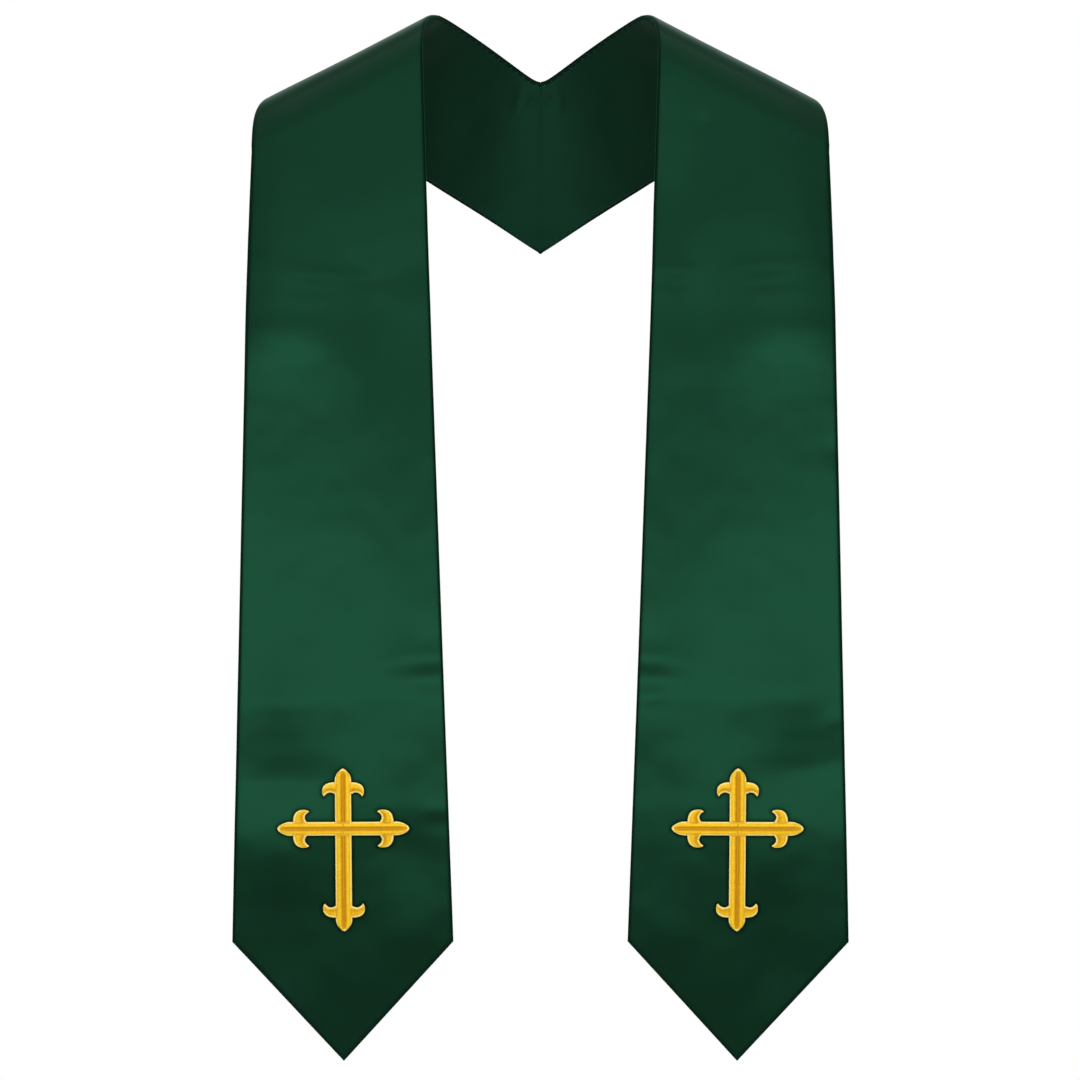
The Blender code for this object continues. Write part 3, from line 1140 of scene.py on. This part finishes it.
@dataclass
class SlipStitches:
    """The hand sewing that holds the lining to the satin's turned edge: a short slanting stitch every few
    millimetres, all round the lining."""

    strip: WornStrip
    pitch: float = 5.0
    thread: float = 0.4
    wander: float = 0.15
    seed: int = 5
    segments: int = 4
    from_edge: float = 1.3
    from_seam: float = 6
    from_corner: float = 4
    from_tip: float = 3
    across: float = 1.5
    along: float = 0.7
    base: float = 0.95
    climb: float = 0.35
    arch: float = 0.2
    tone: float = 0.5
    side_points: int = 400
    hem_points: int = 60

    def paths(self) -> Iterable[StitchPath]:
        """A path down each long edge and along each slope of the point, with stitches towards the middle."""
        cut = self.strip.cut
        slope = cut.hem_slope
        for way in (-1, 1):
            down = np.linspace(self.from_seam, cut.corner_station - self.from_corner, self.side_points)
            edge = cut.edge(down, way, self.from_edge)
            places = np.column_stack([edge, down + edge * cut.lean(down)])
            yield self.path(places, (-way * self.across, self.along))
            out = np.linspace(cut.hem_half_width - self.from_corner, self.from_tip, self.hem_points)
            places = np.column_stack([way * out, cut.tip(out) - self.from_edge / slope])
            yield self.path(places, (-way * math.sqrt(1 - slope**2) * self.across, -slope * self.across))

    def path(self, places: Array, reach: tuple[float, float]) -> StitchPath:
        """One path whose stitches all reach the same way."""
        reaches = np.tile((*reach, self.climb), (len(places), 1))
        return StitchPath(raised(places, 0.0), reaches, self.arch, self.tone, self.tone)

    def build(self, finish: bpy.types.Material) -> bpy.types.Object:
        """Sews the stitches on the back of the strip.

        Args:
            finish: the thread's material.

        Returns:
            The stitches, as one piece.
        """
        row = StitchRow(self.pitch, self.thread, self.wander, self.seed, self.segments)
        stitches = row.sew(f"slip_stitches_{self.strip.side.value}", list(self.paths()), finish)
        self.strip.drape(stitches, (0.0, 0.0), self.base, Face.IN)
        return stitches


# ---------------------------------------------------------------- the embroidered cross


@dataclass(frozen=True)
class CrossArm:
    """One arm of the cross: a straight bar that ends in a spear between two horns. It points down the stole
    at 0 degrees and out at 90, and its middle's stitches start a little way from the crossing. The neck, the
    horn's tip, its crown and the spear's shoulder lie back from the arm's tip by a number of heads. The small
    sizes say how far a curve's end, or the point that it leans to, lies from one of those."""

    points: float
    length: float
    half_width: float
    horn_reach: float
    head: float
    starts: float
    stage_heads: tuple[float, ...] = (15.6, 16.6, 13.0, 8.4)
    inner_horn_end: tuple[float, float] = (0.3, 1.1)
    horn_tip_swell: tuple[float, float] = (0.6, 0.3)
    horn_shoulder: float = 0.6
    spear_swell: tuple[float, float] = (4.2, 0.6)
    spear_end: tuple[float, float] = (0.8, 1.4)
    curve_points: int = 9
    horn_tip_points: int = 7
    tip_half_width: float = 0.2

    def outline(self) -> Array:
        """One side of the arm from its neck to beside its tip, as distances out and sideways."""
        neck, horn_tip, crown, shoulder = self.stages()
        side, reach = self.half_width, self.horn_reach
        inner = (horn_tip - self.inner_horn_end[0], reach - self.inner_horn_end[1])
        swell = (horn_tip + self.horn_tip_swell[0], reach + self.horn_tip_swell[1])
        spear = (self.length - self.head * self.spear_swell[0], side + self.spear_swell[1])
        end = (self.length - self.spear_end[0], self.spear_end[1])
        bend, count = (shoulder, reach - self.horn_shoulder), self.curve_points
        return np.concatenate(
            [
                bezier((neck, side), (crown, (side + reach) / 2), inner, count),
                bezier(inner, swell, (crown, reach), self.horn_tip_points)[1:],
                bezier((crown, reach), bend, (shoulder, side), count)[1:],
                bezier((shoulder, side), spear, end, count)[1:],
            ]
        )

    def stages(self) -> tuple[float, float, float, float]:
        """How far out the neck, the horn's tip, its crown and the spear's shoulder lie."""
        return tuple(self.length - self.head * back for back in self.stage_heads)

    def width_at(self, out: Array) -> Array:
        """Half the width of the bar and spear, without the horns, at distances out."""
        spear = self.outline()[1 - self.curve_points :]
        outs = np.concatenate([[self.stages()[3]], spear[:, 0], [self.length]])
        widths = np.concatenate([[self.half_width], spear[:, 1], [self.tip_half_width]])
        return np.interp(out, outs, widths)

    def turned(self, places: Array) -> Array:
        """Places beside the arm, turned to the way that it points on the flat cut."""
        out = math.radians(self.points)
        ahead, beside = np.array((math.sin(out), math.cos(out))), np.array((math.cos(out), -math.sin(out)))
        return places[:, :1] * ahead + places[:, 1:2] * beside


@dataclass(frozen=True)
class Border:
    """The narrow border of short stitches all round the cross, which climb inward from its outline."""

    width: float = 1.25
    base: float = 0.25
    rise: float = 0.62
    arch: float = 0.28
    step: float = 0.4

    def path(self, loop: Array) -> StitchPath:
        """The outline as an evenly stepped path, with its stitches.

        Args:
            loop: the outline's corners, in order.

        Returns:
            The path.
        """
        loop = np.concatenate([loop, loop[:1]])
        run = np.concatenate([[0], np.cumsum(np.linalg.norm(np.diff(loop, axis=0), axis=1))])
        steps = np.linspace(0, run[-1], round(run[-1] / self.step))
        path = np.stack([np.interp(steps, run, loop[:, axis]) for axis in (0, 1)], axis=1)
        way = np.roll(path, -2, axis=0) - np.roll(path, 2, axis=0)
        inward = unit(np.stack([-way[:, 1], way[:, 0]], axis=1))
        if np.sum(path[:, 0] * np.roll(path[:, 1], -1) - path[:, 1] * np.roll(path[:, 0], -1)) < 0:
            inward = -inward
        reach = raised(inward * self.width, self.rise)
        # The border's thread is painted pale: a painted highlight all round the cross's outline.
        return StitchPath(raised(path, self.base), reach, self.arch, near=1.0, far=0.8)


@dataclass(frozen=True)
class Flanks:
    """The two rows of stitches that meet in a valley down the middle of each arm."""

    step: float = 0.4
    from_tip: float = 2.0
    under_border: float = 0.7
    least_span: float = 0.4
    slope: float = 0.3
    gap: float = 0.12
    valley: float = 0.75
    climb: float = 0.15
    crown: float = 0.95
    crown_span: float = 4.0

    def paths(self, arm: CrossArm, border: Border) -> Iterable[StitchPath]:
        """Two paths down the arm's middle, with stitches out to each side."""
        out = np.arange(arm.starts, arm.length - self.from_tip, self.step)
        span = np.maximum(arm.width_at(out) - border.width * self.under_border, self.least_span)
        for side in (1, -1):
            start = arm.turned(np.column_stack([out, np.full_like(out, side * self.gap)]))
            end = arm.turned(np.column_stack([out + self.slope * span, side * span]))
            reach, arch = raised(end - start, self.climb), self.crown * span / self.crown_span
            # The thread is painted dark orange at the valley, a painted shade, lightening to its plain gold
            # outward.
            yield StitchPath(raised(start, self.valley), reach, arch, near=0.0, far=0.5)


@dataclass(frozen=True)
class Horns:
    """The stitches worked across each horn from its outside to its inside, within its border. The small sizes
    say how far a curve's end, or the point that it leans to, lies from one of the arm's stages."""

    outer_lean: float = 0.8
    outer_end: tuple[float, float] = (1.2, 0.1)
    inner_end: tuple[float, float] = (0.9, 1.3)
    outer_points: int = 16
    kept: tuple[float, float] = (0.18, 0.64)
    base: float = 0.75
    arch: float = 0.2

    def paths(self, arm: CrossArm) -> Iterable[StitchPath]:
        """A path round the outside of each of the arm's two horns."""
        neck, horn_tip, crown, shoulder = arm.stages()
        side, reach = arm.half_width, arm.horn_reach
        lean = (shoulder, reach - self.outer_lean)
        outer = bezier((shoulder, side), lean, (crown, reach), self.outer_points)
        end = (horn_tip + self.outer_end[0], reach - self.outer_end[1])
        outer = np.concatenate([outer, [((crown + horn_tip) / 2, reach), end]])
        end = (horn_tip + self.inner_end[0], reach - self.inner_end[1])
        inner = bezier((neck, side), (crown, (side + reach) / 2), end, len(outer))
        for turn in (1, -1):
            start, end = arm.turned(outer * (1, turn)), arm.turned(inner * (1, turn))
            cross = end - start
            start, cross = start + cross * self.kept[0], cross * self.kept[1]
            span = np.linalg.norm(cross, axis=1)
            across = raised(cross, 0.0)
            # The thread is painted darker towards the horn's inside, with the same painted shade as in the
            # valleys.
            yield StitchPath(raised(start, self.base), across, self.arch * span, near=0.45, far=0.1)


@dataclass
class CrossEmbroidery:
    """A cross fleury in padded satin stitch: two rows of stitches meet in a valley along each arm, horns are
    worked across, and a narrow border of short stitches runs all round."""

    station: float = 649
    offset: float = -1
    cloth_face: float = 1.2
    pitch: float = 0.42
    thread: float = 0.52
    wander: float = 0.07
    seeds: dict[Side, int] = field(default_factory=lambda: {Side.LEFT: 3, Side.RIGHT: 8})
    padding: float = 0.95
    pad_rim: float = 0.1
    pad_pitch: float = 0.8
    pad_margin: float = 0.3
    pad_merge: float = 1e-6
    pad_shade: float = 0.1
    border: Border = Border()
    flanks: Flanks = Flanks()
    horns: Horns = Horns()
    arms: tuple[CrossArm, ...] = (
        CrossArm(180, 36.5, 4.9, 12.6, 1.0, 4.2),
        CrossArm(90, 40.0, 4.1, 11.4, 1.15, 0.0),
        CrossArm(0, 62.5, 4.9, 12.6, 1.0, 4.2),
        CrossArm(-90, 40.0, 4.1, 11.4, 1.15, 0.0),
    )

    def outline(self) -> Outline:
        """The whole outline, arm after arm, as places from the crossing."""
        loop = []
        for arm, following in zip(self.arms, self.arms[1:] + self.arms[:1]):
            side = arm.outline()
            tip, corner = [(arm.length, 0.0)], [(following.half_width, -arm.half_width)]
            for places in (side, tip, side[::-1] * (1, -1), corner):
                loop.append(arm.turned(np.array(places)))
        return Outline(np.concatenate(loop))

    def build(self, strip: WornStrip, finish: bpy.types.Material) -> tuple[bpy.types.Object, ...]:
        """Builds the padding and the stitches of one cross, laid on the satin.

        Args:
            strip: the half that carries it.
            finish: the thread's material.

        Returns:
            The padding and the stitches.
        """
        row = StitchRow(self.pitch, self.thread, self.wander, self.seeds[strip.side])
        paths = [self.border.path(self.outline().loop)]
        paths += [path for arm in self.arms for path in self.flanks.paths(arm, self.border)]
        paths += [path for arm in self.arms for path in self.horns.paths(arm)]
        stitches = row.sew(f"cross_stitches_{strip.side.value}", paths, finish)
        padding = self.pad(f"cross_padding_{strip.side.value}", finish)
        for obj in (stitches, padding):
            strip.drape(obj, (self.offset, self.station), self.cloth_face, Face.OUT)
        return padding, stitches

    def pad(self, name: str, finish: bpy.types.Material) -> bpy.types.Object:
        """The raised ground of tacking stitches under the satin stitch, as a low closed form.

        Args:
            name: the piece's name.
            finish: the thread's material.

        Returns:
            The object, still flat.
        """
        outline = self.outline()
        rim, (wide, tall) = len(outline.loop), np.abs(outline.loop).max(axis=0)
        grid = np.meshgrid(np.arange(-wide, wide, self.pad_pitch), np.arange(-tall, tall, self.pad_pitch))
        grid = np.stack(grid, axis=-1).reshape(-1, 2)
        inner = grid[outline.holds(grid) & (outline.away(grid) > self.pad_margin)]
        flat = np.concatenate([outline.loop, inner])
        edges = [(corner, (corner + 1) % rim) for corner in range(rim)]
        corners = [Vector(place) for place in flat]
        places, _, faces, *_ = delaunay_2d_cdt(corners, edges, [], 1, self.pad_merge)
        flat, faces = self.split(np.array(places), np.array(faces), rim)
        bottom = np.arange(len(flat))
        bottom[rim:] += len(flat) - rim
        rise = (self.padding - self.pad_rim) * quarter_round(outline.away(flat), self.border.width)
        points = np.concatenate([raised(flat, self.pad_rim + rise), raised(flat[rim:], 0.0)])
        sides = np.concatenate([faces, bottom[faces][:, ::-1]])
        mesh = bpy.data.meshes.new(name)
        mesh.from_pydata(metres(points).tolist(), [], sides.tolist())
        mesh.shade_smooth()
        mesh.materials.append(finish)
        mark(mesh, "shade", np.full(len(mesh.vertices), self.pad_shade))
        return add_object(name, mesh)

    @staticmethod
    def split(flat: Array, faces: Array, rim: int) -> tuple[Array, Array]:
        """Splits each triangle whose corners all lie on the rim at its middle, where the padding's top and
        bottom would otherwise share one face.

        Args:
            flat: places, the rim's first.
            faces: triangles, as three numbers of places.
            rim: how many places are on the rim.

        Returns:
            The places and the triangles, with the new ones last.
        """
        thin = (faces < rim).all(axis=1)
        corners, middle = faces[thin], len(flat) + np.arange(thin.sum())
        fans = [np.column_stack([corners[:, k], corners[:, (k + 1) % 3], middle]) for k in range(3)]
        return np.concatenate([flat, flat[corners].mean(axis=1)]), np.concatenate([faces[~thin], *fans])


# ---------------------------------------------------------------- studio


@dataclass(frozen=True)
class SoftLight:
    """A softbox: where it stands, what it faces and its width and height in metres, its power in watts, and
    how wide its beam opens in degrees."""

    name: str
    place: tuple[float, float, float]
    faces: tuple[float, float, float]
    size: tuple[float, float]
    power: float
    opening: float = 180.0

    def hang(self) -> None:
        """Puts the softbox in the scene."""
        lamp = bpy.data.lights.new(self.name, "AREA")
        lamp.shape, lamp.energy = "RECTANGLE", self.power
        lamp.size, lamp.size_y = self.size
        lamp.spread = math.radians(self.opening)
        obj = add_object(self.name, lamp)
        obj.location = self.place
        way = Vector(self.faces) - Vector(self.place)
        obj.rotation_euler = way.to_track_quat("-Z", "Y").to_euler()
        obj.visible_camera = False


@dataclass
class Studio:
    """A pale floor under the hanging stole, soft light all round, and the camera in front. Its places and
    sizes are in metres, besides the lens and the sensor."""

    floor_level: float = -1.4
    floor_radius: float = 6.0
    floor_sides: int = 96
    eye: tuple[float, float, float] = (-0.0003, -3.2, -0.321)
    lens_mm: float = 173.9
    sensor_mm: float = 36.0
    farthest: float = 50.0
    backdrop: float = 1.0
    fill: float = 0.15
    lights: tuple[SoftLight, ...] = (
        SoftLight("low_key", (0.0, -1.4, -0.6), (0.0, 0.0, -0.4), (1.6, 0.25), 4.2),
        SoftLight("middle_key", (0.0, -1.4, -0.48), (0.0, 0.0, -0.36), (1.6, 0.25), 7.4),
        SoftLight("upper_key", (0.0, -1.4, 0.0), (0.0, 0.0, -0.3), (1.6, 0.3), 2.4),
        SoftLight("chest_key", (0.0, -1.4, 0.24), (0.0, 0.0, -0.16), (1.6, 0.2), 2.6),
        SoftLight("high_fill", (0.0, -2.6, 0.6), (0.0, 0.0, -0.3), (1.6, 1.6), 12),
        SoftLight("overhead", (0.0, -0.8, 1.4), (0.0, 0.0, -0.1), (2.0, 2.4), 20),
        SoftLight("neck_fill", (0.0, -0.75, -1.13), (0.0, 0.05, -0.11), (0.25, 0.15), 0.012, 16),
        SoftLight("back", (0.0, 2.2, -0.98), (0.0, 0.0, -0.3), (2.6, 1.0), 42),
        SoftLight("back_high", (0.0, 1.6, 1.3), (0.0, 0.0, -0.1), (1.6, 1.6), 3.5),
    )

    def build(self) -> None:
        """Lays the floor, hangs the lights and sets up the camera."""
        mesh = bpy.data.meshes.new("floor")
        disc = bmesh.new()
        bmesh.ops.create_circle(disc, cap_ends=True, segments=self.floor_sides, radius=self.floor_radius)
        for vertex in disc.verts:
            vertex.co.z = self.floor_level
        disc.to_mesh(mesh)
        disc.free()
        mesh.materials.append(PaleFloor().make())
        floor = add_object("floor", mesh)
        for light in self.lights:
            light.hang()
        self.sky()
        lens = bpy.data.cameras.new("front")
        lens.sensor_width, lens.lens, lens.clip_end = self.sensor_mm, self.lens_mm, self.farthest
        camera = add_object("front", lens)
        camera.location = self.eye
        camera.rotation_euler = (math.radians(90), 0.0, 0.0)
        bpy.context.scene.camera = camera
        bpy.context.scene.view_settings.view_transform = "Standard"

    def sky(self) -> None:
        """White where the camera looks past the stole, and a gentle even fill everywhere else."""
        world = bpy.data.worlds.new("studio")
        world.use_nodes = True
        tree = world.node_tree
        tree.nodes.clear()
        inputs = {"Fac": add_node(tree, "ShaderNodeLightPath").outputs["Is Camera Ray"]}
        for number, strength in ((1, self.fill), (2, self.backdrop)):
            glow = {"Strength": strength, "Color": linear("FFFFFF")}
            inputs[number] = made(tree, "ShaderNodeBackground", glow)
        add_node(tree, "ShaderNodeOutputWorld", {"Surface": made(tree, "ShaderNodeMixShader", inputs)})
        bpy.context.scene.world = world


# ---------------------------------------------------------------- the stole

# Each crease is its middle's station and offset, its reach to each side, its half widths above and below, its
# slant and its rise. The first few are the same on both halves.
PAIRED_CREASES = (
    Crease(-32, 38, 70, 34, 20, 49, -1.9),
    Crease(560, 67, 70, 110, 400, 0, -2.8),
    Crease(712, -48, 30, 36, 30, 0, 1.0),
)
CREASES = {
    Side.LEFT: (
        Crease(38, -36, 6, 2.5, 2.5, 5, 0.5),
        Crease(42, -31, 9, 3, 3, -35, 0.4),
        Crease(60, 12, 60, 20, 20, -30, -0.7),
        Crease(112, -8, 70, 16, 16, 40, 0.8),
        Crease(222, -23, 8, 7, 4, 0, -0.5, Crest.KEEN),
        Crease(262, -52, 40, 90, 50, 0, -2.8),
        Crease(272, 30, 70, 44, 44, 0, 1.2),
        Crease(311, 12, 24, 7, 7, -4, 0.6),
        Crease(320, 12, 24, 8, 8, -4, -0.7),
        Crease(312, -40, 18, 7, 7, 0, 0.5),
        Crease(320, -40, 18, 7, 7, 0, -0.5),
        Crease(307, 55, 8, 5, 5, 0, -0.5, Crest.KEEN),
        Crease(330, -52, 34, 60, 76, 0, 2.6),
        Crease(329, 30, 72, 149, 56, -4, 7.6),
        Crease(345, -36, 60, 120, 150, 0, -3.0),
        Crease(560, -60, 50, 130, 76, 0, 2.8),
        Crease(420, 57, 11, 10, 10, 20, -0.5),
        Crease(547, -54, 28, 11, 11, 4, 0.6),
        Crease(559, -54, 28, 11, 11, 4, -0.6),
        Crease(569, -54, 14, 6, 6, -6, 0.15),
        Crease(576, -54, 14, 6, 6, -6, -0.15),
        Crease(568, 26, 58, 50, 50, -8, 1.7, Crest.KEEN),
        Crease(613, 42, 44, 48, 48, -11, -1.6, Crest.KEEN),
        Crease(583, 58, 10, 7, 7, -20, 0.3),
        Crease(668, 18, 20, 30, 30, 0, 0.8),
        Crease(730, 20, 26, 40, 40, 0, -0.8),
    ),
    Side.RIGHT: (
        Crease(37, -36, 7, 2.5, 2.5, 8, 0.5),
        Crease(44, -30, 12, 3, 3, -30, 0.4),
        Crease(56, 10, 64, 22, 22, -26, -0.8),
        Crease(116, -4, 64, 15, 15, 36, 0.7),
        Crease(264, 0, 120, 44, 44, 0, 1.3),
        Crease(298, -18, 18, 12, 12, 0, 0.4),
        Crease(310, -18, 18, 12, 12, 0, -0.4),
        Crease(316, 14, 24, 8, 8, -2, 0.5),
        Crease(324, 14, 24, 8, 8, -2, -0.5),
        Crease(318, -17, 26, 6, 6, 0, 0.3),
        Crease(325, -17, 26, 6, 6, 0, -0.3),
        Crease(334, -46, 44, 26, 130, -2, -3.2),
        Crease(330, 34, 64, 154, 56, 4, 7.6),
        Crease(562, -60, 50, 120, 74, 0, 2.0),
        Crease(547, -52, 30, 11, 11, 4, 0.6),
        Crease(559, -52, 30, 11, 11, 4, -0.6),
        Crease(572, 32, 58, 50, 50, 1, 1.6, Crest.KEEN),
        Crease(620, 38, 46, 42, 26, 2, -1.3, Crest.KEEN),
        Crease(638, -58, 14, 8, 8, 0, 0.2),
        Crease(646, -58, 14, 8, 8, 0, -0.2),
        Crease(664, 40, 30, 30, 30, 0, 0.8),
        Crease(664, -38, 30, 24, 32, 0, -0.9),
        Crease(716, 34, 34, 40, 40, 0, -0.8),
    ),
}


def main() -> None:
    """Builds the stole half by half, hangs each piece from the body's root and hides the model's matching
    parts, then builds the studio.
    """
    logging.basicConfig(level=logging.INFO, format="%(message)s")
    # The satin's last number says how much its painted shade darkens it.
    gloss = {"roughness": 0.34, "specular": 0.33, "spread": 0.5, "sheen": 0.22, "painted_shade": 0.85}
    satin = SatinFinish("woven_green_satin", "091B10", "50CC98", **gloss).make()
    # The lining is the same green satin as the face, its colour painted darker as painted shade for the neck
    # opening between the fronts.
    gloss = {"roughness": 0.36, "specular": 0.36, "spread": 0.0, "sheen": 0.1}
    lining_satin = SatinFinish("green_lining_satin_painted_shade", "07150D", "50CC98", **gloss).make()
    gold = GoldThread().make()
    sewing = SewingThread().make()
    cross = CrossEmbroidery()
    for side in Side:
        strip = WornStrip(side, PAIRED_CREASES + CREASES[side])
        # The satin takes painted shade round the cross's outline.
        where_shaded = {"work": cross.outline(), "work_origin": (cross.offset, cross.station)}
        outer = OuterCloth(strip, **where_shaded).build(f"satin_{side.value}", satin)
        lining = LiningCloth(strip).build(f"lining_cloth_{side.value}", lining_satin)
        padding, stitches = cross.build(strip, gold)
        slips = SlipStitches(strip).build(sewing)
        for obj in (outer, lining, padding, stitches, slips):
            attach(obj, "root")
            LOG.info("%s: %d faces", obj.name, len(obj.data.polygons))
        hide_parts(f"outer_{side.value}")
        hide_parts(f"lining_{side.value}")
        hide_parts(f"cross_{side.value}")
        cut = strip.cut
        cut.flat_size
        cut.area
        cut.flat_size
        cut.area
    Studio().build()
    bpy.context.view_layer.update()


if __name__ == "__main__":
    main()
